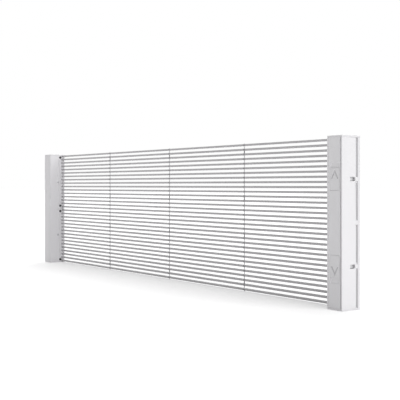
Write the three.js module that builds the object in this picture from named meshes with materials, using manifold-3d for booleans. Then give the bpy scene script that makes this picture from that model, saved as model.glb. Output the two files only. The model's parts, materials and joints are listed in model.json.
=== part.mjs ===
// A see-through LED display panel: thin horizontal light bars between two hollow end posts.
// Millimetres, +Z up. X runs along the panel, -Y is its rear and +Y its lit front.
// Panels lock side by side: bolts in the right post enter the sockets of the next left post.
import * as THREE from 'three';
import { mergeVertices } from 'three/addons/utils/BufferGeometryUtils.js';
import Module from 'manifold-3d';

const wasm = await Module();
wasm.setup();

// ---------------------------------------------------------------- driving dimensions
const LENGTH = 1000;
const HEIGHT = 250;
const DEPTH = 36;
const POST_WIDTH = 31;
const ROWS = 32;
const CLEARANCE = 0.3;

// Post extrusion, in section
const WALL = 2;
const WEB = 1.5;
const SHOULDER = 1.4;
const GROOVE_WIDTH = 4.7;
const GROOVE_INSET = 2;
const LIP_WIDTH = 2.6;
const LIP_DEPTH = 1.6;
const LEDGE_REACH = 5.5;
const LEDGE_THICKNESS = 1.5;
const LUG_HEIGHT = 6;

// Front flange, rear cover and end caps
const FLANGE_DEPTH = 5.3;
const FLANGE_WALL = 4;
const FLANGE_FACE = 1.8;
const FLANGE_CHAMFER = 1.2;
const COVER_RECESS = 0.2;
const COVER_THICKNESS = 3.2;
const COVER_SEAM = 1.6;
const COVER_FIT = 0.1;
const CAP_THICKNESS = 3;
const CAP_PLUG = 5;

// Light bars, their end combs and the ties that keep them apart
const BAR_HEIGHT = 3.3;
const BAR_DEPTH = 6.5;
const BAR_SETBACK = 2;
const BAR_CHAMFER = 0.5;
const LED_GROOVE_HEIGHT = 2.3;
const LED_GROOVE_DEPTH = 1.2;
const COMB_BASE = 1.5;
const COMB_REACH = 5;
const COMB_LAND = 7;
const COMB_END_GAP = 0.8;
const TOOTH_PROUD = 0.8;
const TOOTH_GRIP = 2;
const TIE_SIZE = 1.2;
const TIE_INSET = 0.2;

// Side latches: a thumb slide moves up or down and its pin drives a bolt sideways
const BOLT_DEPTH = 9.4;
const BOLT_HEIGHT = 5.2;
const BOLT_SETBACK = 3;
const BOLT_TAIL = 3;
const CAM_RIB = 3.4;
const CAM_PLAY = 0.3;
const PIN_DIAMETER = 3;
const PIN_SIDES = 24;
const STEM = 5;
const POCKET_DEPTH = 1.4;
const POCKET_SIDE = 5.7;
const PAD_OVERLAP = 8;
const SHOE_WIDTH = 12;
const SHOE_HEIGHT = 14;
const SHOE_THICKNESS = 2;
const CHEVRON_RISE = 7;
const CHEVRON_STROKE = 2.7;
const CHEVRON_DEPTH = 0.5;
const CHEVRON_MARGIN = 1.8;
const GUIDE_WALL = 3;
const SOCKET_WALL = 2;
const SOCKET_FLOOR = 2;
const SOCKET_DEPTH = 12;

// Electronics inside the posts
const SUPPLY_DEPTH = 17;
const SUPPLY_CHAMFER = 2;
const INNER_MARGIN = 8;
const BOARD_THICKNESS = 1.6;
const BOARD_STANDOFF = 1.6;
const FOOT_SIZE = 4;
const CHIP_SIZE = 12;
const CHIP_HEIGHT = 2.5;
const CHIP_COUNT = 3;

// ---------------------------------------------------------------- values that follow
const CUT = 1;
const MERGE = 0.5;
const PITCH = HEIGHT / ROWS;
const QUARTER = ROWS / 4;
const GAP = PITCH - BAR_HEIGHT;
const BODY_DEPTH = DEPTH - FLANGE_DEPTH - GROOVE_WIDTH;
const NECK_FRONT = BODY_DEPTH + GROOVE_WIDTH;
const WEB_REAR = NECK_FRONT - WEB;
const NECK_INNER = GROOVE_INSET + WALL;
const COVER_FRONT = COVER_RECESS + COVER_THICKNESS;
const INNER_FACE = LENGTH / 2 - POST_WIDTH;
const BAR_FRONT = DEPTH - BAR_SETBACK;
const BAR_REAR = BAR_FRONT - BAR_DEPTH;
const TIE_DEPTH = [BAR_REAR + TIE_INSET, BAR_REAR + TIE_INSET + TIE_SIZE];
const TIE_PLACES = [-1, 0, 1].map((step) => (step * INNER_FACE) / 2);
const LATCH_HEIGHTS = { upper: (3 * HEIGHT) / 4, lower: HEIGHT / 4 };
const POST_CENTRE = POST_WIDTH / 2;

const SLOT = {
  depth: BOLT_DEPTH + 2 * CLEARANCE,
  height: BOLT_HEIGHT + 2 * CLEARANCE,
  front: BODY_DEPTH - 0.4,
};
SLOT.rear = SLOT.front - SLOT.depth;

const CAM_WIDTH = PIN_DIAMETER + 2 * CAM_PLAY;
const TRAVEL = (POST_WIDTH - 2 * WALL - 2 * CLEARANCE - CAM_WIDTH - 2 * CAM_RIB) / 2;
const TAIL = {
  outer: WALL + CLEARANCE + TRAVEL,
  inner: POST_WIDTH - WALL - CLEARANCE,
  halfHeight: (TRAVEL + CAM_WIDTH) / 2 + CAM_RIB,
  rear: SLOT.rear + CLEARANCE,
};
TAIL.front = TAIL.rear + BOLT_TAIL;
const PIN_PLACE = TAIL.outer + CAM_RIB + CAM_WIDTH / 2;
const GUIDE_HALF = TAIL.halfHeight + CLEARANCE + GUIDE_WALL;
const INNER_LOW = LATCH_HEIGHTS.lower + GUIDE_HALF + INNER_MARGIN;
const INNER_HIGH = LATCH_HEIGHTS.upper - GUIDE_HALF - INNER_MARGIN;

// ---------------------------------------------------------------- solids
const X = new THREE.Vector3(1, 0, 0);
const Y = new THREE.Vector3(0, 1, 0);
const Z = new THREE.Vector3(0, 0, 1);

function solid(geometry) {
  geometry.deleteAttribute('normal');
  geometry.deleteAttribute('uv');
  const merged = mergeVertices(geometry, 1e-4);
  const vertProperties = new Float32Array(merged.attributes.position.array);
  const triVerts = new Uint32Array(merged.index.array);
  return new wasm.Manifold(new wasm.Mesh({ numProp: 3, vertProperties, triVerts }));
}

function middle([low, high]) {
  return (low + high) / 2;
}

function block(x, y, z) {
  const box = new THREE.BoxGeometry(x[1] - x[0], y[1] - y[0], z[1] - z[0]);
  return solid(box.translate(middle(x), middle(y), middle(z)));
}

// A span around a centre
function around(centre, size) {
  return [centre - size / 2, centre + size / 2];
}

// Posts are drawn by distance from their outer face, which side (-1 or 1) turns into X
function acrossPost(side, near, far) {
  const ends = [side * (LENGTH / 2 - near), side * (LENGTH / 2 - far)];
  return ends.sort((a, b) => a - b);
}

function outline(points) {
  return new THREE.Shape(points.map(([across, along]) => new THREE.Vector2(across, along)));
}

function extrude(shape, length, axes) {
  const options = { depth: length, bevelEnabled: false, curveSegments: 12 };
  const turned = new THREE.Matrix4().makeBasis(...axes);
  return new THREE.ExtrudeGeometry(shape, options).applyMatrix4(turned);
}

// An upright length of a post's section, given as [distance from the outer face, depth]
function upright(side, section, z) {
  const shape = outline(section.map(([inward, y]) => [side * (LENGTH / 2 - inward), y]));
  return solid(extrude(shape, z[1] - z[0], [X, Y, Z]).translate(0, 0, z[0]));
}

// A section in depth and height, run along X
function alongX(section, x) {
  return solid(extrude(outline(section), x[1] - x[0], [Y, Z, X]).translate(x[0], 0, 0));
}

// A shape in X and Z, given thickness from its front face towards the rear
function throughY(shape, y) {
  const back = Y.clone().negate();
  return solid(extrude(shape, y[1] - y[0], [X, Z, back]).translate(0, y[1], 0));
}

// ---------------------------------------------------------------- light bars and ties
function barSection(height) {
  const top = height + BAR_HEIGHT / 2;
  const bottom = height - BAR_HEIGHT / 2;
  const grooveTop = height + LED_GROOVE_HEIGHT / 2;
  const grooveBottom = height - LED_GROOVE_HEIGHT / 2;
  const grooveFloor = BAR_FRONT - LED_GROOVE_DEPTH;
  return [
    [BAR_REAR + BAR_CHAMFER, bottom],
    [BAR_FRONT, bottom],
    [BAR_FRONT, grooveBottom],
    [grooveFloor, grooveBottom],
    [grooveFloor, grooveTop],
    [BAR_FRONT, grooveTop],
    [BAR_FRONT, top],
    [BAR_REAR + BAR_CHAMFER, top],
    [BAR_REAR, top - BAR_CHAMFER],
    [BAR_REAR, bottom + BAR_CHAMFER],
  ];
}

function lightBar(row) {
  const height = (row - 0.5) * PITCH;
  const reach = INNER_FACE - COMB_BASE - CLEARANCE;
  let bar = alongX(barSection(height), [-reach, reach]);
  for (const place of TIE_PLACES) {
    const notch = around(place, TIE_SIZE + 2 * CLEARANCE);
    const depth = [BAR_REAR - CUT, TIE_DEPTH[1] + CLEARANCE];
    bar = bar.subtract(block(notch, depth, around(height, BAR_HEIGHT + CUT)));
  }
  return bar;
}

// The gaps between bars that hold a comb tooth, counted from the lowest
function toothRows(first, last, openRows) {
  const rows = Array.from({ length: last - first + 1 }, (_, step) => first + step);
  return rows.filter((row) => !openRows.includes(row));
}

// A strip from back to root, with teeth that reach to tip between neighbouring bars
function toothed({ back, root, tip }, [low, high], rows) {
  const half = GAP / 2 - CLEARANCE;
  const steps = rows.flatMap((row) => [
    [root, row * PITCH - half],
    [tip, row * PITCH - half],
    [tip, row * PITCH + half],
    [root, row * PITCH + half],
  ]);
  return [[back, low], [root, low], ...steps, [root, high], [back, high]];
}

// A thin upright strip let into a notch in the rear of every bar
function tie(place) {
  return block(around(place, TIE_SIZE), TIE_DEPTH, [COMB_END_GAP, HEIGHT - COMB_END_GAP]);
}

// Half of a post's comb: a flat land for the screws, and the teeth that hold the bars
function comb(side, upper) {
  const halfway = ROWS / 2;
  const [first, last] = upper ? [halfway + 1, ROWS - 1] : [1, halfway - 1];
  const ends = upper
    ? [HEIGHT / 2 + CLEARANCE / 2, HEIGHT - COMB_END_GAP]
    : [COMB_END_GAP, HEIGHT / 2 - CLEARANCE / 2];
  const rear = BAR_REAR - TOOTH_PROUD;
  const strip = {
    back: side * INNER_FACE,
    root: side * (INNER_FACE - COMB_BASE),
    tip: side * (INNER_FACE - COMB_REACH),
  };
  const profile = toothed(strip, ends, toothRows(first, last, [QUARTER, 3 * QUARTER]));
  const land = throughY(outline(toothed(strip, ends, [])), [BAR_REAR - COMB_LAND, rear + MERGE]);
  return throughY(outline(profile), [rear, BAR_REAR + TOOTH_GRIP]).add(land);
}

function joined(parts) {
  return parts.reduce((whole, part) => whole.add(part));
}

// ---------------------------------------------------------------- posts
function channelSection() {
  const ledgeFront = COVER_FRONT + LEDGE_THICKNESS;
  const shoulderRear = BODY_DEPTH - SHOULDER;
  const far = (inward) => POST_WIDTH - inward;
  return [
    [0, 0],
    [LIP_WIDTH, 0],
    [LIP_WIDTH, LIP_DEPTH],
    [WALL, LIP_DEPTH],
    [WALL, COVER_FRONT],
    [LEDGE_REACH, COVER_FRONT],
    [LEDGE_REACH, ledgeFront],
    [WALL, ledgeFront],
    [WALL, shoulderRear],
    [NECK_INNER, shoulderRear],
    [NECK_INNER, WEB_REAR],
    [far(WALL), WEB_REAR],
    [far(WALL), ledgeFront],
    [far(LEDGE_REACH), ledgeFront],
    [far(LEDGE_REACH), COVER_FRONT],
    [far(WALL), COVER_FRONT],
    [far(WALL), LIP_DEPTH],
    [far(LIP_WIDTH), LIP_DEPTH],
    [far(LIP_WIDTH), 0],
    [far(0), 0],
    [far(0), NECK_FRONT],
    [GROOVE_INSET, NECK_FRONT],
    [GROOVE_INSET, BODY_DEPTH],
    [0, BODY_DEPTH],
  ];
}

// The post's hollow extrusion, with a slot for each bolt and lugs across its outer groove
function channel(side) {
  let post = upright(side, channelSection(), [CAP_THICKNESS, HEIGHT - CAP_THICKNESS]);
  const lugAcross = acrossPost(side, 0, GROOVE_INSET + MERGE);
  for (const height of [HEIGHT / 2, ...Object.values(LATCH_HEIGHTS)]) {
    const depth = [BODY_DEPTH - MERGE, NECK_FRONT];
    post = post.add(block(lugAcross, depth, around(height, LUG_HEIGHT)));
  }
  const slotAcross = acrossPost(side, -CUT, NECK_INNER + CUT);
  for (const height of Object.values(LATCH_HEIGHTS)) {
    const depth = [SLOT.rear, SLOT.front];
    post = post.subtract(block(slotAcross, depth, around(height, SLOT.height)));
  }
  return post;
}

function flange(side) {
  const far = (inward) => POST_WIDTH - inward;
  const section = [
    [0, NECK_FRONT],
    [FLANGE_WALL, NECK_FRONT],
    [FLANGE_WALL, DEPTH - FLANGE_FACE],
    [far(FLANGE_WALL), DEPTH - FLANGE_FACE],
    [far(FLANGE_WALL), NECK_FRONT],
    [far(0), NECK_FRONT],
    [far(0), DEPTH - FLANGE_CHAMFER],
    [far(FLANGE_CHAMFER), DEPTH],
    [FLANGE_CHAMFER, DEPTH],
    [0, DEPTH - FLANGE_CHAMFER],
  ];
  return upright(side, section, [CAP_THICKNESS, HEIGHT - CAP_THICKNESS]);
}

// A cover lies close to the lip on its -X side and leaves a seam on its +X side
function cover(side) {
  const [low, high] = acrossPost(side, LIP_WIDTH, POST_WIDTH - LIP_WIDTH);
  const across = [low + COVER_FIT, high - COVER_SEAM];
  return block(across, [COVER_RECESS, COVER_FRONT], [CAP_THICKNESS, HEIGHT - CAP_THICKNESS]);
}

function endCap(side, atTop) {
  const plate = atTop ? [HEIGHT - CAP_THICKNESS, HEIGHT] : [0, CAP_THICKNESS];
  const plug = atTop
    ? [HEIGHT - CAP_THICKNESS - CAP_PLUG, HEIGHT - MERGE]
    : [MERGE, CAP_THICKNESS + CAP_PLUG];
  const plugAcross = acrossPost(side, LEDGE_REACH + CLEARANCE, POST_WIDTH - LEDGE_REACH - CLEARANCE);
  const plugDepth = [COVER_FRONT + LEDGE_THICKNESS + CLEARANCE, BODY_DEPTH - SHOULDER - CLEARANCE];
  return block(acrossPost(side, 0, POST_WIDTH), [0, DEPTH], plate).add(block(plugAcross, plugDepth, plug));
}

// ---------------------------------------------------------------- latches
// sense is 1 for the upper latch, whose slide moves up, and -1 for the lower, which moves down
const SENSE = { upper: 1, lower: -1 };
const RIGHT = 1;
const LEFT = -1;

function pinHeight(name) {
  return LATCH_HEIGHTS[name] - (SENSE[name] * TRAVEL) / 2;
}

// A span that starts at one height and runs some way in the latch's own direction
function span(name, start, end) {
  const ends = [LATCH_HEIGHTS[name] + SENSE[name] * start, LATCH_HEIGHTS[name] + SENSE[name] * end];
  return ends.sort((a, b) => a - b);
}

const PAD_HALF = TRAVEL + PAD_OVERLAP;

// The pocket that a thumb pad lies in, and the slot that its stem passes through
function coverWithPockets() {
  let plate = cover(RIGHT);
  for (const name of ['upper', 'lower']) {
    const pocketAcross = acrossPost(RIGHT, POCKET_SIDE, POST_WIDTH - POCKET_SIDE);
    const pocketDepth = [COVER_RECESS - CUT, COVER_RECESS + POCKET_DEPTH];
    const pocketHeight = span(name, -PAD_HALF - CLEARANCE, PAD_HALF + TRAVEL + CLEARANCE);
    const stemHalf = STEM / 2 + CLEARANCE;
    const slotAcross = acrossPost(RIGHT, PIN_PLACE - stemHalf, PIN_PLACE + stemHalf);
    const slotHeight = span(name, -TRAVEL / 2 - stemHalf, TRAVEL / 2 + stemHalf);
    plate = plate.subtract(block(pocketAcross, pocketDepth, pocketHeight));
    plate = plate.subtract(block(slotAcross, [0, COVER_FRONT + CUT], slotHeight));
  }
  return plate;
}

// An arrowhead that points the way the slide moves, centred on the height it is given
function chevron(name, height, width) {
  const centre = LENGTH / 2 - POST_CENTRE;
  const point = (across, rise) => [centre + across, height + SENSE[name] * rise];
  const half = width / 2;
  return outline([
    point(-half, -CHEVRON_RISE),
    point(0, CHEVRON_RISE),
    point(half, -CHEVRON_RISE),
    point(half - CHEVRON_STROKE, -CHEVRON_RISE),
    point(0, CHEVRON_RISE - 2 * CHEVRON_STROKE),
    point(CHEVRON_STROKE - half, -CHEVRON_RISE),
  ]);
}

function thumbSlide(name) {
  const padSide = POCKET_SIDE + CLEARANCE;
  const padAcross = acrossPost(RIGHT, padSide, POST_WIDTH - padSide);
  const padFront = COVER_RECESS + POCKET_DEPTH - CLEARANCE;
  const shoeRear = COVER_FRONT + CLEARANCE;
  const pinX = LENGTH / 2 - PIN_PLACE;
  const pinZ = pinHeight(name);
  const pad = block(padAcross, [COVER_RECESS, padFront], span(name, -PAD_HALF, PAD_HALF));
  const stem = block(around(pinX, STEM), [padFront - MERGE, TAIL.rear - CLEARANCE], around(pinZ, STEM));
  const shoeDepth = [shoeRear, shoeRear + SHOE_THICKNESS];
  const shoe = block(around(pinX, SHOE_WIDTH), shoeDepth, around(pinZ, SHOE_HEIGHT));
  const pinLength = BOLT_TAIL + CLEARANCE + MERGE;
  const pinShape = new THREE.CylinderGeometry(PIN_DIAMETER / 2, PIN_DIAMETER / 2, pinLength, PIN_SIDES);
  const pin = solid(pinShape.translate(pinX, TAIL.front - pinLength / 2, pinZ));
  const markWidth = POST_WIDTH - 2 * (padSide + CHEVRON_MARGIN);
  const markCentre = LATCH_HEIGHTS[name] + SENSE[name] * (PAD_HALF - CHEVRON_RISE - CHEVRON_MARGIN);
  const markDepth = [COVER_RECESS - CUT, COVER_RECESS + CHEVRON_DEPTH];
  const mark = throughY(chevron(name, markCentre, markWidth), markDepth);
  return joined([pad, stem, shoe, pin]).subtract(mark);
}

// The slanted cam slot: as the pin moves one way in Z, the bolt moves as far in X
function camSlot(name) {
  const radius = CAM_WIDTH / 2;
  const start = new THREE.Vector2(LENGTH / 2 - PIN_PLACE, pinHeight(name));
  const end = start.clone().add(new THREE.Vector2(-TRAVEL, SENSE[name] * TRAVEL));
  const angle = end.clone().sub(start).angle();
  const shape = new THREE.Shape();
  shape.absarc(start.x, start.y, radius, angle + Math.PI / 2, angle + 1.5 * Math.PI, false);
  shape.absarc(end.x, end.y, radius, angle - Math.PI / 2, angle + Math.PI / 2, false);
  return throughY(shape, [TAIL.rear - CUT, TAIL.front + CUT]);
}

function bolt(name) {
  const height = LATCH_HEIGHTS[name];
  const noseAcross = acrossPost(RIGHT, BOLT_SETBACK, TAIL.outer + MERGE);
  const nose = block(noseAcross, [TAIL.rear, TAIL.rear + BOLT_DEPTH], around(height, BOLT_HEIGHT));
  const tailAcross = acrossPost(RIGHT, TAIL.outer, TAIL.inner);
  const tail = block(tailAcross, [TAIL.rear, TAIL.front], around(height, 2 * TAIL.halfHeight));
  return nose.add(tail).subtract(camSlot(name));
}

// Two rails above and below the bolt's tail, joined by the bed that it slides on
function boltGuide(name) {
  const height = LATCH_HEIGHTS[name];
  const railAcross = acrossPost(RIGHT, NECK_INNER + CLEARANCE, TAIL.inner);
  const railDepth = [TAIL.rear - CLEARANCE, WEB_REAR];
  const innerHalf = TAIL.halfHeight + CLEARANCE;
  const bedAcross = acrossPost(RIGHT, TAIL.outer + MERGE + CLEARANCE, TAIL.inner);
  const bedDepth = [TAIL.front + CLEARANCE, WEB_REAR];
  return joined([
    block(bedAcross, bedDepth, around(height, 2 * innerHalf + GUIDE_WALL)),
    block(railAcross, railDepth, [height + innerHalf, height + GUIDE_HALF]),
    block(railAcross, railDepth, [height - GUIDE_HALF, height - innerHalf]),
  ]);
}

// The left post's box behind each slot, which takes the bolt of the next panel
function socket(name) {
  const height = around(LATCH_HEIGHTS[name], SLOT.height + 2 * SOCKET_WALL);
  const depth = [SLOT.rear - SOCKET_WALL, BODY_DEPTH - SHOULDER];
  const inner = SOCKET_DEPTH + SOCKET_FLOOR;
  const neck = block(acrossPost(LEFT, WALL, inner), depth, height);
  const deep = [depth[0], SLOT.front + SOCKET_WALL];
  const box = block(acrossPost(LEFT, NECK_INNER, inner), deep, height);
  const mouth = acrossPost(LEFT, WALL - CUT, SOCKET_DEPTH);
  const hollow = block(mouth, [SLOT.rear, SLOT.front], around(LATCH_HEIGHTS[name], SLOT.height));
  return neck.add(box).subtract(hollow);
}

// ---------------------------------------------------------------- electronics
const CHAMBER = [NECK_INNER + CLEARANCE, POST_WIDTH - WALL - CLEARANCE];

function powerSupply() {
  const rear = WEB_REAR - SUPPLY_DEPTH;
  const section = [
    [CHAMBER[0], WEB_REAR],
    [CHAMBER[0], rear + SUPPLY_CHAMFER],
    [CHAMBER[0] + SUPPLY_CHAMFER, rear],
    [CHAMBER[1] - SUPPLY_CHAMFER, rear],
    [CHAMBER[1], rear + SUPPLY_CHAMFER],
    [CHAMBER[1], WEB_REAR],
  ];
  return upright(RIGHT, section, [INNER_LOW, INNER_HIGH]);
}

function controlBoard() {
  const across = acrossPost(LEFT, ...CHAMBER);
  const front = WEB_REAR - BOARD_STANDOFF;
  const rear = front - BOARD_THICKNESS;
  const parts = [block(across, [rear, front], [INNER_LOW, INNER_HIGH])];
  for (const x of [across[0] + FOOT_SIZE / 2, across[1] - FOOT_SIZE / 2]) {
    for (const z of [INNER_LOW + FOOT_SIZE, INNER_HIGH - FOOT_SIZE]) {
      parts.push(block(around(x, FOOT_SIZE), [front - MERGE, WEB_REAR], around(z, FOOT_SIZE)));
    }
  }
  const spacing = (INNER_HIGH - INNER_LOW) / CHIP_COUNT;
  for (let chip = 0; chip < CHIP_COUNT; chip += 1) {
    const z = around(INNER_LOW + (chip + 0.5) * spacing, CHIP_SIZE);
    parts.push(block(around(middle(across), CHIP_SIZE), [rear - CHIP_HEIGHT, rear + MERGE], z));
  }
  return joined(parts);
}

// ---------------------------------------------------------------- finishes and assembly
const FINISH = {
  post: { color: 0xe9e8ea, roughness: 0.45, metalness: 0.1 },
  bar: { color: 0xd5d4d6, roughness: 0.5, metalness: 0.1 },
  comb: { color: 0xd6d5d7, roughness: 0.6, metalness: 0 },
  tie: { color: 0xe3e2e4, roughness: 0.5, metalness: 0 },
  cap: { color: 0xdcdbdd, roughness: 0.6, metalness: 0 },
  slide: { color: 0xd8d7d9, roughness: 0.5, metalness: 0 },
  steel: { color: 0xa9a9ac, roughness: 0.3, metalness: 0.9 },
  plastic: { color: 0x4a4a4c, roughness: 0.6, metalness: 0 },
  board: { color: 0x2f5b41, roughness: 0.5, metalness: 0 },
};

const group = new THREE.Group();
group.position.y = -DEPTH / 2;

function place(name, part, finish) {
  const { vertProperties, triVerts } = part.getMesh();
  const geometry = new THREE.BufferGeometry();
  geometry.setAttribute('position', new THREE.BufferAttribute(vertProperties, 3));
  geometry.setIndex(new THREE.BufferAttribute(triVerts, 1));
  geometry.computeVertexNormals();
  const mesh = new THREE.Mesh(geometry, new THREE.MeshStandardMaterial(FINISH[finish]));
  mesh.name = name;
  group.add(mesh);
}

for (let row = 1; row <= ROWS; row += 1) {
  place(`light_bar_${String(row).padStart(2, '0')}`, lightBar(row), 'bar');
}

['left_tie', 'middle_tie', 'right_tie'].forEach((name, index) => {
  place(name, tie(TIE_PLACES[index]), 'tie');
});

for (const [label, side] of [['left', LEFT], ['right', RIGHT]]) {
  place(`${label}_post`, channel(side), 'post');
  place(`${label}_front_flange`, flange(side), 'post');
  place(`${label}_rear_cover`, side === RIGHT ? coverWithPockets() : cover(side), 'post');
  place(`${label}_top_cap`, endCap(side, true), 'cap');
  place(`${label}_bottom_cap`, endCap(side, false), 'cap');
  place(`${label}_upper_comb`, comb(side, true), 'comb');
  place(`${label}_lower_comb`, comb(side, false), 'comb');
}

for (const name of ['upper', 'lower']) {
  place(`${name}_thumb_slide`, thumbSlide(name), 'slide');
  place(`${name}_bolt`, bolt(name), 'steel');
  place(`${name}_bolt_guide`, boltGuide(name), 'plastic');
  place(`${name}_catch_socket`, socket(name), 'plastic');
}

place('power_supply', powerSupply(), 'plastic');
place('control_board', controlBoard(), 'board');

export default group;
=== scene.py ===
"""Looks of a see-through LED display panel: light bars between two white end posts, seen from the rear."""
import json
import math

import bmesh
import bpy
from mathutils import Matrix, Vector


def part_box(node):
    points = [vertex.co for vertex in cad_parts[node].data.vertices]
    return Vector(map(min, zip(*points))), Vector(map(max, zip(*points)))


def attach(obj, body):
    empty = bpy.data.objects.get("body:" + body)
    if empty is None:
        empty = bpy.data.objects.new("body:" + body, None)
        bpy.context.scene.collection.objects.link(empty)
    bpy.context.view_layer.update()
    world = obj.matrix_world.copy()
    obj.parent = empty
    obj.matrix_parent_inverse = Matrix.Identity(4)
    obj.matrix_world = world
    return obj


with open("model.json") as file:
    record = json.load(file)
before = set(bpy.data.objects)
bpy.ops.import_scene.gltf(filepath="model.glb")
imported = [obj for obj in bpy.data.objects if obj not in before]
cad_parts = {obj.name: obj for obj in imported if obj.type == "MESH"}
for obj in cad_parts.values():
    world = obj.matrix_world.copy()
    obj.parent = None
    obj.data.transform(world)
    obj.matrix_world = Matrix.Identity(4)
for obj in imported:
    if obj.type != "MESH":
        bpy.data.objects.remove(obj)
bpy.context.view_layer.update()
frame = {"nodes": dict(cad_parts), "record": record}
MM = 0.001

# ---------------------------------------------------------------- driving values
# Camera: where it stands, the way it looks (degrees left of +Y), its lens, its sensor and its vertical shift
CAMERA_PLACE = (1.4272, -0.8934, 0.1784)
CAMERA_HEADING = 55.7
CAMERA_LENS = 80.2
CAMERA_SENSOR = 36
CAMERA_SHIFT = -0.0365

ROWS = 32
BAYS = 4
TIES = ("left", "middle", "right")

# Lamps, and the board that carries them in each bar's front groove
LAMPS_PER_BAY = 30
LAMP_SIZE = 2.0 * MM
LAMP_HEIGHT = 0.9 * MM
BAR_GROOVE_DEPTH = 1.2 * MM
STRIP_THICKNESS = 1.0 * MM
STRIP_HALF_HEIGHT = 1.05 * MM
STRIP_END_GAP = 0.6 * MM

# Screws on the combs' lands, which stand this far off the posts
COMB_LAND_RISE = 1.5 * MM
SCREW_DIAMETER = 5.2 * MM
SCREW_HEIGHT = 1.1 * MM
SCREW_INSET = 6.0 * MM
SCREW_DEPTH = 3.1 * MM
HEAD_SIDES = 24

# Clips that hold the ties in the bars' notches, and cap the bars' ends; their dark grey is painted shade
# where the ties cross the bars and at the bars' ends
CLIP_WIDTH = 3.6 * MM
CLIP_THICKNESS = 0.5 * MM
CLIP_BEVEL = 0.2 * MM
CLIP_EDGE_GAP = 0.25 * MM
END_CLIP_WIDTH = 2.8 * MM
END_CLIP_GAP = 0.1 * MM

# Pegs on the ties: the gaps they stand in, counted from the lowest, and the part of them that isn't bevelled
PEG_ROWS = (2, 12, 20, 30)
PEG_RADIUS = 0.95 * MM
PEG_END_GAP = 0.15 * MM
PEG_STRAIGHT = 0.8
PEG_SIDES = 16

# Seals in the posts' outer grooves: a pale raised lip along the rear, and a thin grey rubber foot up to the
# flange, whose grey is painted shade in the groove
GROOVE_WIDTH = 4.7 * MM
GROOVE_DEPTH = 2.0 * MM
SEALS_PER_POST = 4
SEAL_LIP_WIDTH = 1.5 * MM
SEAL_LIP_HEIGHT = 1.85 * MM
SEAL_LIP_BEVEL = 0.15 * MM
SEAL_THICKNESS = 0.5 * MM
SEAL_MARGIN = 0.1 * MM
SEAL_END_GAP = 0.5 * MM
LUG_CLEARANCE = 4.0 * MM

RIVET_DIAMETER = 4.4 * MM
RIVET_HEIGHT = 0.6 * MM
RIVET_Y = 0.7 * MM

# Edge rounding of the CAD nodes, by material slot
EDGE_RADIUS = {
    "post": 0.35 * MM,
    "cover": 0.3 * MM,
    "flange": 0.35 * MM,
    "bar": 0.2 * MM,
    "comb": 0.15 * MM,
    "cap": 0.6 * MM,
    "slide": 0.25 * MM,
    "steel": 0.25 * MM,
    "inner_plastic": 0.3 * MM,
}
# Vertices this near are joined, faces that meet at less than the flat angle become one, and edges sharper
# than the edge angle are rounded (angles in degrees)
WELD_DISTANCE = 0.002 * MM
FLAT_ANGLE = 1
EDGE_ANGLE = 40

# Grain and roughness of plain moulded plastic
PLASTIC_GRAIN = 2200
PLASTIC_ROUGHNESS = (0.42, 0.58)

# Colours
WHITE_COAT = (0.86, 0.85, 0.87)
BAR_GREY = (0.53, 0.52, 0.535)
COMB_WHITE = (0.85, 0.84, 0.86)
TIE_WHITE = (0.86, 0.85, 0.865)
# The clips' dark grey is painted shade where the ties cross the bars and at the bars' ends; the pegs share
# it
CLIP_SHADE_AND_PEG_GREY = (0.32, 0.315, 0.325)
# The seals' grey foot is painted shade along the posts' outer grooves
SEAL_FOOT_SHADE_GREY = (0.50, 0.495, 0.51)
FLANGE_COAT = (0.79, 0.78, 0.80)
ARROWHEAD_GREY = (0.60, 0.595, 0.61)
# The depths below a thumb slide's face between which its own colour gives way to the arrowhead's grey
ARROWHEAD_FILL = (0.2 * MM, 0.4 * MM)

# Strength of the even surround
WORLD_LIGHT = 0.46
# Each soft sun: its strength, the width of its disc, its azimuth from +X towards +Y, its elevation
SUNS = {
    "side_sun": (1.45, 60, 6, 20),
    "back_sun": (1.10, 50, 140, 55),
}
# The floor: its grey, the glow it gets where it is looked at, and half its width in metres
FLOOR_GREY = 0.93
FLOOR_LIFT = 0.32
FLOOR_HALF = 30


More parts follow.
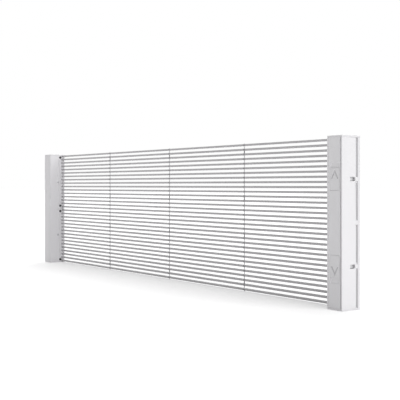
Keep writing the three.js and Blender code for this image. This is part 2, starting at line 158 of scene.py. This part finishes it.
# ---------------------------------------------------------------- material helpers
class Tree:
    """A material's node tree, with short ways to add and link nodes."""

    def __init__(self, name):
        self.material = bpy.data.materials.new(name)
        self.material.use_nodes = True
        self.nodes = self.material.node_tree.nodes
        self.links = self.material.node_tree.links
        self.shader = self.nodes["Principled BSDF"]
        self.place = self.add("ShaderNodeTexCoord").outputs["Object"]

    def add(self, kind, **settings):
        node = self.nodes.new(kind)
        for key, value in settings.items():
            setattr(node, key, value)
        return node

    def link(self, source, target):
        self.links.new(source, target)

    def stretched(self, scale):
        """Object coordinates scaled by (x, y, z)."""
        mapping = self.add("ShaderNodeMapping")
        mapping.inputs["Scale"].default_value = scale
        self.link(self.place, mapping.inputs["Vector"])
        return mapping.outputs["Vector"]

    def noise(self, scale, detail=4.0, stretch=(1, 1, 1)):
        node = self.add("ShaderNodeTexNoise")
        node.inputs["Scale"].default_value = scale
        node.inputs["Detail"].default_value = detail
        self.link(self.stretched(stretch), node.inputs["Vector"])
        return node.outputs["Fac"]

    def remap(self, value, low, high):
        """Noise, which mostly lies between 0.3 and 0.7, spread from low to high."""
        node = self.add("ShaderNodeMapRange")
        node.inputs["From Min"].default_value = 0.3
        node.inputs["From Max"].default_value = 0.7
        node.inputs["To Min"].default_value = low
        node.inputs["To Max"].default_value = high
        self.link(value, node.inputs["Value"])
        return node.outputs["Result"]

    def mix(self, factor, first, second):
        node = self.add("ShaderNodeMix", data_type="RGBA")
        self.link(factor, node.inputs["Factor"])
        for socket, colour in ((node.inputs["A"], first), (node.inputs["B"], second)):
            if isinstance(colour, tuple):
                socket.default_value = (*colour, 1)
            else:
                self.link(colour, socket)
        return node.outputs["Result"]

    def bump(self, height, strength, distance):
        node = self.add("ShaderNodeBump")
        node.inputs["Strength"].default_value = strength
        node.inputs["Distance"].default_value = distance
        self.link(height, node.inputs["Height"])
        self.link(node.outputs["Normal"], self.shader.inputs["Normal"])

    def colour(self, value):
        self.link(value, self.shader.inputs["Base Color"])

    def roughness(self, value):
        self.link(value, self.shader.inputs["Roughness"])


def shade(colour, factor):
    return tuple(channel * factor for channel in colour)


def powder_coat(name, colour):
    """Satin powder coat: a fine orange peel, cloudy sheen and faint handling marks."""
    tree = Tree(name)
    cloud = tree.noise(14, detail=6)
    marks = tree.noise(90, detail=8, stretch=(1, 1, 0.15))
    toned = tree.mix(tree.remap(cloud, 0, 1), shade(colour, 0.975), colour)
    tree.colour(tree.mix(tree.remap(marks, 0, 0.06), toned, shade(colour, 0.8)))
    tree.roughness(tree.remap(marks, 0.48, 0.62))
    tree.bump(tree.noise(1600, detail=2), 0.25, 0.00006)
    return tree.material


def moulded_tree(name, colour, grain, rough):
    """The tree of moulded plastic with a fine even grain."""
    tree = Tree(name)
    cloud = tree.noise(30, detail=5)
    tree.colour(tree.mix(tree.remap(cloud, 0, 1), shade(colour, 0.94), colour))
    tree.roughness(tree.remap(tree.noise(120, detail=6), *rough))
    tree.bump(tree.noise(grain, detail=2), 0.3, 0.00005)
    return tree


def moulded_plastic(name, colour, grain=PLASTIC_GRAIN, rough=PLASTIC_ROUGHNESS):
    return moulded_tree(name, colour, grain, rough).material


def thumb_slide_plastic(name, colour):
    """Moulded plastic whose sunk arrowhead is filled with grey."""
    tree = moulded_tree(name, colour, PLASTIC_GRAIN, PLASTIC_ROUGHNESS)
    plain = tree.shader.inputs["Base Color"].links[0].from_socket
    place = tree.add("ShaderNodeSeparateXYZ")
    tree.link(tree.place, place.inputs["Vector"])
    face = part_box("upper_thumb_slide")[0].y
    sunk = tree.add("ShaderNodeMapRange")
    sunk.inputs["From Min"].default_value = face + ARROWHEAD_FILL[0]
    sunk.inputs["From Max"].default_value = face + ARROWHEAD_FILL[1]
    tree.link(place.outputs["Y"], sunk.inputs["Value"])
    tree.colour(tree.mix(sunk.outputs["Result"], plain, ARROWHEAD_GREY))
    return tree.material


def drawn_bar(name, colour):
    """A bar drawn through a die, with faint lines along its length."""
    tree = Tree(name)
    lines = tree.noise(900, detail=4, stretch=(0.01, 1, 1))
    cloud = tree.noise(9, detail=5)
    toned = tree.mix(tree.remap(cloud, 0, 1), shade(colour, 0.95), colour)
    tree.colour(tree.mix(tree.remap(lines, 0, 0.12), toned, shade(colour, 0.8)))
    tree.roughness(tree.remap(lines, 0.28, 0.42))
    tree.shader.inputs["IOR"].default_value = 1.6
    tree.bump(lines, 0.2, 0.00005)
    return tree.material


def brushed_steel(name, colour):
    tree = Tree(name)
    brush = tree.noise(700, detail=6, stretch=(0.04, 1, 1))
    tree.colour(tree.mix(tree.remap(brush, 0, 1), shade(colour, 0.85), colour))
    tree.shader.inputs["Metallic"].default_value = 1
    tree.roughness(tree.remap(brush, 0.25, 0.42))
    tree.bump(brush, 0.15, 0.00004)
    return tree.material


def blackened_steel(name):
    tree = Tree(name)
    worn = tree.noise(500, detail=6)
    tree.colour(tree.mix(tree.remap(worn, 0, 1), (0.02, 0.02, 0.021), (0.055, 0.054, 0.053)))
    tree.shader.inputs["Metallic"].default_value = 0.6
    tree.roughness(tree.remap(worn, 0.3, 0.5))
    return tree.material


def solder_mask(name, colour):
    """Lacquered board: darker mottling where copper lies under the lacquer."""
    tree = Tree(name)
    copper = tree.noise(260, detail=3, stretch=(0.3, 1, 1))
    tree.colour(tree.mix(tree.remap(copper, 0, 1), shade(colour, 0.7), colour))
    tree.roughness(tree.remap(tree.noise(400, detail=4), 0.3, 0.45))
    tree.bump(copper, 0.3, 0.00005)
    return tree.material


def lamp_body(name):
    """The lamp's housing of dull white resin."""
    tree = Tree(name)
    tree.colour(tree.mix(tree.remap(tree.noise(600), 0, 1), (0.68, 0.67, 0.64), (0.78, 0.77, 0.74)))
    tree.roughness(tree.remap(tree.noise(900), 0.35, 0.5))
    return tree.material


def lamp_lens(name):
    """Yellowish clear resin over the lamp's three chips."""
    tree = Tree(name)
    tree.colour(tree.mix(tree.remap(tree.noise(1500), 0, 1), (0.60, 0.55, 0.36), (0.72, 0.68, 0.50)))
    tree.shader.inputs["Coat Weight"].default_value = 0.8
    tree.roughness(tree.remap(tree.noise(700), 0.12, 0.22))
    return tree.material


# ---------------------------------------------------------------- finishes on the CAD nodes
MATERIALS = {
    "post": powder_coat("post_powder_coat", WHITE_COAT),
    "cover": powder_coat("cover_powder_coat", WHITE_COAT),
    "flange": powder_coat("flange_powder_coat", FLANGE_COAT),
    "bar": drawn_bar("bar_plastic", BAR_GREY),
    "comb": moulded_plastic("comb_plastic", COMB_WHITE),
    "tie": moulded_plastic("tie_plastic", TIE_WHITE),
    # The clips' dark grey is painted shade; the pegs use it too
    "clip": moulded_plastic("clip_shade_and_peg_plastic", CLIP_SHADE_AND_PEG_GREY),
    # The seals' feet: grey painted as the grooves' shade
    "seal": moulded_plastic("seal_foot_shade_rubber", SEAL_FOOT_SHADE_GREY, grain=1200, rough=(0.6, 0.75)),
    "cap": moulded_plastic("cap_plastic", shade(WHITE_COAT, 0.97)),
    "slide": thumb_slide_plastic("slide_plastic", shade(WHITE_COAT, 0.99)),
    "steel": brushed_steel("bolt_steel", (0.62, 0.62, 0.63)),
    "inner_plastic": moulded_plastic("inner_plastic", (0.05, 0.05, 0.053)),
    "supply_case": brushed_steel("supply_case_metal", (0.6, 0.6, 0.62)),
    "circuit_board": solder_mask("control_board_mask", (0.03, 0.13, 0.07)),
    "black_screw": blackened_steel("screw_black"),
    "lamp_strip": solder_mask("lamp_strip_mask", (0.035, 0.035, 0.04)),
    "lamp": lamp_body("lamp_housing"),
}
LENS = lamp_lens("lamp_lens")


def round_edges(piece, radius):
    """Rounds a faceted CAD node's edges without touching its own mesh."""
    weld = piece.modifiers.new("weld", "WELD")
    weld.merge_threshold = WELD_DISTANCE
    flat = piece.modifiers.new("flat", "DECIMATE")
    flat.decimate_type = "DISSOLVE"
    flat.angle_limit = math.radians(FLAT_ANGLE)
    bevel = piece.modifiers.new("bevel", "BEVEL")
    bevel.width = radius
    bevel.segments = 2
    bevel.limit_method = "ANGLE"
    bevel.angle_limit = math.radians(EDGE_ANGLE)
    bevel.use_clamp_overlap = True
    bevel.harden_normals = False


def finish_nodes():
    slots = {part["node"]: part["material_slot"] for part in frame["record"]["subparts"]}
    for node, piece in frame["nodes"].items():
        slot = slots[node]
        piece.data.materials.clear()
        piece.data.materials.append(MATERIALS[slot])
        if slot in EDGE_RADIUS:
            round_edges(piece, EDGE_RADIUS[slot])


# ---------------------------------------------------------------- new pieces
def new_piece(name, mesh_maker, materials, body):
    """A mesh object made by mesh_maker(bmesh), riding on a body."""
    mesh = bpy.data.meshes.new(name)
    shape = bmesh.new()
    mesh_maker(shape)
    bmesh.ops.recalc_face_normals(shape, faces=shape.faces)
    shape.to_mesh(mesh)
    shape.free()
    for material in materials:
        mesh.materials.append(material)
    piece = bpy.data.objects.new(name, mesh)
    bpy.context.scene.collection.objects.link(piece)
    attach(piece, body)
    return piece


def add_box(shape, low, high, material=0):
    """A closed box between two corners."""
    made = bmesh.ops.create_cube(shape, size=1)
    size = [b - a for a, b in zip(low, high)]
    centre = [(a + b) / 2 for a, b in zip(low, high)]
    matrix = Matrix.Translation(centre) @ Matrix.Diagonal((*size, 1))
    bmesh.ops.transform(shape, matrix=matrix, verts=made["verts"])
    for face in {face for vertex in made["verts"] for face in vertex.link_faces}:
        face.material_index = material


def ring(shape, centre, half, y, corner):
    """An eight-sided ring in the X-Z plane: a square with its corners cut."""
    places = [
        (-half, -half + corner), (-half + corner, -half), (half - corner, -half), (half, -half + corner),
        (half, half - corner), (half - corner, half), (-half + corner, half), (-half, half - corner),
    ]
    return [shape.verts.new((centre.x + x, y, centre.z + z)) for x, z in places]


def bridge(shape, first, second, material):
    """Faces between two rings of as many vertices."""
    count = len(first)
    for k in range(count):
        corners = (first[k], first[(k + 1) % count], second[(k + 1) % count], second[k])
        shape.faces.new(corners).material_index = material


def add_lamp(shape, centre, base_y, housing, lens):
    """One lamp package: a housing with a rim and a sunk, domed lens, facing +Y."""
    half = LAMP_SIZE / 2
    outer_corner = half * 0.12
    lens_corner = half * 0.3
    top = base_y + LAMP_HEIGHT
    well_floor = top - LAMP_HEIGHT * 0.18
    dome_top = top - LAMP_HEIGHT * 0.06
    foot = ring(shape, centre, half, base_y, outer_corner)
    shoulder = ring(shape, centre, half * 0.96, top, outer_corner)
    rim = ring(shape, centre, half * 0.78, top, lens_corner)
    well = ring(shape, centre, half * 0.70, well_floor, lens_corner)
    crown = ring(shape, centre, half * 0.36, dome_top, lens_corner / 2)
    shape.faces.new(foot).material_index = housing
    bridge(shape, foot, shoulder, housing)
    bridge(shape, shoulder, rim, housing)
    bridge(shape, rim, well, housing)
    bridge(shape, well, crown, lens)
    shape.faces.new(crown).material_index = lens


def lamp_columns():
    """X of every lamp, evenly spaced between the posts."""
    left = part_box("left_post")[1].x
    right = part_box("right_post")[0].x
    count = BAYS * LAMPS_PER_BAY
    step = (right - left) / count
    return [left + (k + 0.5) * step for k in range(count)]


def add_lamp_strip(row):
    """The board in a bar's front groove, with its lamps."""
    low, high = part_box(f"light_bar_{row:02d}")
    height = (low.z + high.z) / 2
    groove_floor = high.y - BAR_GROOVE_DEPTH
    board_top = groove_floor + STRIP_THICKNESS
    first, last = low.x + STRIP_END_GAP, high.x - STRIP_END_GAP
    reach = LAMP_SIZE / 2 + STRIP_END_GAP

    def strip(shape):
        bottom, top = height - STRIP_HALF_HEIGHT, height + STRIP_HALF_HEIGHT
        add_box(shape, (first, groove_floor, bottom), (last, board_top, top))

    def lamps(shape):
        for x in lamp_columns():
            if first + reach < x < last - reach:
                add_lamp(shape, Vector((x, 0, height)), board_top, 0, 1)

    new_piece(f"lamp_strip_{row:02d}", strip, [MATERIALS["lamp_strip"]], "frame")
    new_piece(f"lamps_{row:02d}", lamps, [MATERIALS["lamp"], LENS], "frame")


def turned(shape, profile, sides, matrix):
    """A closed turned shape about local Z, from (radius, height) points that start and end on the axis."""
    rings = []
    for radius, height in profile:
        if radius == 0:
            rings.append([shape.verts.new(matrix @ Vector((0, 0, height)))])
            continue
        angles = [2 * math.pi * k / sides for k in range(sides)]
        spots = [(radius * math.cos(a), radius * math.sin(a), height) for a in angles]
        rings.append([shape.verts.new(matrix @ Vector(spot)) for spot in spots])
    for first, second in zip(rings, rings[1:]):
        for k in range(sides):
            following = (k + 1) % sides
            corners = [first[k % len(first)], first[following % len(first)]]
            corners += [second[following % len(second)], second[k % len(second)]]
            distinct = list(dict.fromkeys(corners))
            if len(distinct) > 2:
                shape.faces.new(distinct)


def dome(radius, low, high, angles):
    """(radius, height) points up a dome that is widest at low and would close at high."""
    turns = [math.radians(angle) for angle in angles]
    return [(radius * math.cos(turn), low + (high - low) * math.sin(turn)) for turn in turns]


def facing(place, outward):
    """A matrix that stands local Z along +X or -X at a place."""
    turn = Vector((outward, 0, 0)).to_track_quat("Z", "Y").to_matrix().to_4x4()
    return Matrix.Translation(place) @ turn


def inner_face(side):
    """X of a post's face towards the bars, and 1 or -1 for the way it faces."""
    low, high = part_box(f"{side}_post")
    return (high.x, 1) if side == "left" else (low.x, -1)


def screw_head(name, place, outward):
    """A domed black screw head with a sunk round recess."""
    radius = SCREW_DIAMETER / 2
    recess = radius * 0.45
    recess_floor = SCREW_HEIGHT * 0.35

    def make(shape):
        crown = dome(radius, recess_floor, SCREW_HEIGHT, range(0, 61, 15))
        well = [(recess, SCREW_HEIGHT * 0.98), (recess, recess_floor), (0, SCREW_HEIGHT * 0.3)]
        turned(shape, [(0, 0), (radius, 0)] + crown + well, HEAD_SIDES, facing(place, outward))

    piece = new_piece(name, make, [MATERIALS["black_screw"]], "frame")
    piece.data.shade_smooth()


def add_comb_screws():
    """A screw near each end of every comb, on its flat land."""
    for side in ("left", "right"):
        face, outward = inner_face(side)
        land = face + outward * COMB_LAND_RISE
        for half in ("lower", "upper"):
            low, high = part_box(f"{side}_{half}_comb")
            for label, z in (("bottom", low.z + SCREW_INSET), ("top", high.z - SCREW_INSET)):
                place = Vector((land, low.y + SCREW_DEPTH, z))
                screw_head(f"{side}_{half}_comb_screw_{label}", place, outward)


def pad(shape, low, high, y, thickness, bevel):
    """A flat pad on a face at y, standing proud towards -Y, with its outer edges bevelled."""
    (x0, z0), (x1, z1) = low, high
    foot = [shape.verts.new((x, y, z)) for x, z in ((x0, z0), (x1, z0), (x1, z1), (x0, z1))]
    shoulder_y = y - thickness + bevel
    shoulder = [shape.verts.new((x, shoulder_y, z)) for x, z in ((x0, z0), (x1, z0), (x1, z1), (x0, z1))]
    x0, x1, z0, z1 = x0 + bevel, x1 - bevel, z0 + bevel, z1 - bevel
    top = [shape.verts.new((x, y - thickness, z)) for x, z in ((x0, z0), (x1, z0), (x1, z1), (x0, z1))]
    bridge(shape, foot, shoulder, 0)
    bridge(shape, shoulder, top, 0)
    shape.faces.new(top)
    shape.faces.new(foot)


def add_clip_column(name, bars, x0, x1):
    """A flat clip on the rear of every bar, from x0 to x1, in a dark grey that is painted shade."""
    def make(shape):
        for low, high in bars:
            bottom, top = low.z + CLIP_EDGE_GAP, high.z - CLIP_EDGE_GAP
            pad(shape, (x0, bottom), (x1, top), low.y, CLIP_THICKNESS, CLIP_BEVEL)

    new_piece(name, make, [MATERIALS["clip"]], "frame")


def add_clips():
    """Clips on every bar: one at each tie, and one at each of its ends, their dark grey painted shade at the
    crossings and the ends.
    """
    bars = [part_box(f"light_bar_{row:02d}") for row in range(1, ROWS + 1)]
    for tie in TIES:
        low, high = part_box(f"{tie}_tie")
        centre = (low.x + high.x) / 2
        add_clip_column(f"{tie}_tie_shade_clips", bars, centre - CLIP_WIDTH / 2, centre + CLIP_WIDTH / 2)
    low, high = bars[0]
    add_clip_column("left_end_shade_clips", bars, low.x + END_CLIP_GAP, low.x + END_CLIP_WIDTH)
    add_clip_column("right_end_shade_clips", bars, high.x - END_CLIP_WIDTH, high.x - END_CLIP_GAP)


def add_tie_pegs(tie, heights, half):
    """Upright pegs on a tie, each of them half above and half below its height."""
    low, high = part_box(f"{tie}_tie")
    centre = (low + high) / 2
    neck = PEG_RADIUS * PEG_STRAIGHT
    straight = half * PEG_STRAIGHT
    upper = [(PEG_RADIUS, straight), (neck, half), (0, half)]
    lower = [(radius, -height) for radius, height in reversed(upper)]

    def make(shape):
        for height in heights:
            turned(shape, lower + upper, PEG_SIDES, Matrix.Translation((centre.x, centre.y, height)))

    new_piece(f"{tie}_tie_pegs", make, [MATERIALS["clip"]], "frame")


def add_pegs():
    """Pegs on each tie, in the gaps where its sections are pinned."""
    bar_bottom, bar_top = (corner.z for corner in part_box("light_bar_01"))
    pitch = (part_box(f"light_bar_{ROWS:02d}")[0].z - bar_bottom) / (ROWS - 1)
    gap = pitch - (bar_top - bar_bottom)
    heights = [bar_top + (row - 1) * pitch + gap / 2 for row in PEG_ROWS]
    for tie in TIES:
        add_tie_pegs(tie, heights, gap / 2 - PEG_END_GAP)


def seal_section(y0, y1):
    """(rise, Y) points round a seal's section, from its rear edge to its edge at the flange."""
    lip_end = y0 + SEAL_LIP_WIDTH
    shoulder = SEAL_LIP_HEIGHT - SEAL_LIP_BEVEL
    return [
        (0, y0), (shoulder, y0), (SEAL_LIP_HEIGHT, y0 + SEAL_LIP_BEVEL),
        (SEAL_LIP_HEIGHT, lip_end - SEAL_LIP_BEVEL), (shoulder, lip_end),
        (SEAL_THICKNESS, lip_end), (SEAL_THICKNESS, y1), (0, y1),
    ]


def add_seal(name, floor, outward, section, z0, z1):
    """A seal along Z, whose section rises outward from the groove's floor and whose foot is grey rubber, its
    grey painted shade in the groove.
    """
    def make(shape):
        ends = []
        for z in (z0, z1):
            ends.append([shape.verts.new((floor + outward * rise, y, z)) for rise, y in section])
        bridge(shape, ends[0], ends[1], 0)
        shape.faces.new(ends[0])
        shape.faces.new(ends[1])
        # The foot's faces take the second material, grey painted as the groove's shade
        foot_limit = (SEAL_THICKNESS + SEAL_LIP_HEIGHT) / 2
        for face in shape.faces:
            if all(abs(vertex.co.x - floor) < foot_limit for vertex in face.verts):
                face.material_index = 1

    new_piece(name, make, [MATERIALS["cap"], MATERIALS["seal"]], "frame")


def add_groove_seals():
    """Rubber seals lying in each post's outer groove, between its lugs, with grey feet painted as the
    groove's shade.
    """
    for side, outward in (("left", -1), ("right", 1)):
        low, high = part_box(f"{side}_post")
        flange_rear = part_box(f"{side}_front_flange")[0].y
        floor = (high.x if outward > 0 else low.x) - outward * GROOVE_DEPTH
        section = seal_section(flange_rear - GROOVE_WIDTH + SEAL_MARGIN, flange_rear - SEAL_MARGIN)
        length = (high.z - low.z) / SEALS_PER_POST
        gaps = [SEAL_END_GAP] + [LUG_CLEARANCE] * (SEALS_PER_POST - 1) + [SEAL_END_GAP]
        for index in range(SEALS_PER_POST):
            z0 = low.z + index * length + gaps[index]
            z1 = low.z + (index + 1) * length - gaps[index + 1]
            add_seal(f"{side}_groove_seal_{index + 1}", floor, outward, section, z0, z1)


def rivet_head(name, place, outward):
    """A plain domed rivet head."""
    def make(shape):
        crown = dome(RIVET_DIAMETER / 2, 0, RIVET_HEIGHT, range(0, 76, 15))
        turned(shape, [(0, 0)] + crown + [(0, RIVET_HEIGHT)], HEAD_SIDES, facing(place, outward))

    piece = new_piece(name, make, [MATERIALS["supply_case"]], "frame")
    piece.data.shade_smooth()


def add_rivets():
    """A domed rivet at a quarter and three quarters of each post's inner face."""
    for side in ("left", "right"):
        face, outward = inner_face(side)
        low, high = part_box(f"{side}_post")
        for label, share in (("lower", 0.25), ("upper", 0.75)):
            height = low.z + share * (high.z - low.z)
            rivet_head(f"{side}_{label}_rivet", (face, RIVET_Y, height), outward)


# ---------------------------------------------------------------- stage, light and camera
def seen_directly(nodes, links):
    """1 where a camera, glossy or transmission ray arrives, otherwise 0."""
    paths = nodes.new("ShaderNodeLightPath")
    total = paths.outputs["Is Camera Ray"]
    for kind in ("Is Glossy Ray", "Is Transmission Ray"):
        most = nodes.new("ShaderNodeMath")
        most.operation = "MAXIMUM"
        links.new(total, most.inputs[0])
        links.new(paths.outputs[kind], most.inputs[1])
        total = most.outputs["Value"]
    return total


def floor_material():
    """A matt floor, lifted to white where it is looked at, which keeps the shadows on it."""
    material = bpy.data.materials.new("floor_white")
    material.use_nodes = True
    nodes, links = material.node_tree.nodes, material.node_tree.links
    nodes.clear()
    matt = nodes.new("ShaderNodeBsdfDiffuse")
    matt.inputs["Color"].default_value = (FLOOR_GREY, FLOOR_GREY, FLOOR_GREY, 1)
    glow = nodes.new("ShaderNodeEmission")
    lift = nodes.new("ShaderNodeMath")
    lift.operation = "MULTIPLY"
    links.new(seen_directly(nodes, links), lift.inputs[0])
    lift.inputs[1].default_value = FLOOR_LIFT
    links.new(lift.outputs["Value"], glow.inputs["Strength"])
    both = nodes.new("ShaderNodeAddShader")
    links.new(matt.outputs["BSDF"], both.inputs[0])
    links.new(glow.outputs["Emission"], both.inputs[1])
    output = nodes.new("ShaderNodeOutputMaterial")
    links.new(both.outputs["Shader"], output.inputs["Surface"])
    return material


def add_floor():
    mesh = bpy.data.meshes.new("floor")
    corners = [(x * FLOOR_HALF, y * FLOOR_HALF, 0) for x, y in ((-1, -1), (1, -1), (1, 1), (-1, 1))]
    mesh.from_pydata(corners, [], [(0, 1, 2, 3)])
    mesh.materials.append(floor_material())
    floor = bpy.data.objects.new("floor", mesh)
    bpy.context.scene.collection.objects.link(floor)


def add_world():
    """An even white surround, plain white where the camera or a reflection sees it."""
    world = bpy.data.worlds.new("studio")
    bpy.context.scene.world = world
    world.use_nodes = True
    nodes, links = world.node_tree.nodes, world.node_tree.links
    light = nodes["Background"]
    light.inputs["Color"].default_value = (1, 1, 1, 1)
    light.inputs["Strength"].default_value = WORLD_LIGHT
    seen = nodes.new("ShaderNodeBackground")
    seen.inputs["Color"].default_value = (1, 1, 1, 1)
    seen.inputs["Strength"].default_value = 1
    choice = nodes.new("ShaderNodeMixShader")
    links.new(seen_directly(nodes, links), choice.inputs["Fac"])
    links.new(light.outputs["Background"], choice.inputs[1])
    links.new(seen.outputs["Background"], choice.inputs[2])
    links.new(choice.outputs["Shader"], nodes["World Output"].inputs["Surface"])


def add_suns():
    """Wide, soft suns that leave no hard shadow."""
    for name, (strength, spread, azimuth, elevation) in SUNS.items():
        data = bpy.data.lights.new(name, "SUN")
        data.energy = strength
        data.angle = math.radians(spread)
        sun = bpy.data.objects.new(name, data)
        turn, rise = math.radians(azimuth), math.radians(elevation)
        flat = math.cos(rise)
        towards = Vector((flat * math.cos(turn), flat * math.sin(turn), math.sin(rise)))
        sun.rotation_mode = "QUATERNION"
        sun.rotation_quaternion = towards.to_track_quat("Z", "Y")
        bpy.context.scene.collection.objects.link(sun)


def add_camera():
    data = bpy.data.cameras.new("camera")
    data.lens = CAMERA_LENS
    data.sensor_width = CAMERA_SENSOR
    data.shift_y = CAMERA_SHIFT
    camera = bpy.data.objects.new("camera", data)
    camera.location = CAMERA_PLACE
    camera.rotation_euler = (math.radians(90), 0, math.radians(CAMERA_HEADING))
    bpy.context.scene.collection.objects.link(camera)
    bpy.context.scene.camera = camera


add_camera()
finish_nodes()
for row in range(1, ROWS + 1):
    add_lamp_strip(row)
add_comb_screws()
add_clips()
add_pegs()
add_groove_seals()
add_rivets()
add_floor()
add_world()
add_suns()
bpy.context.scene.view_settings.view_transform = "Standard"
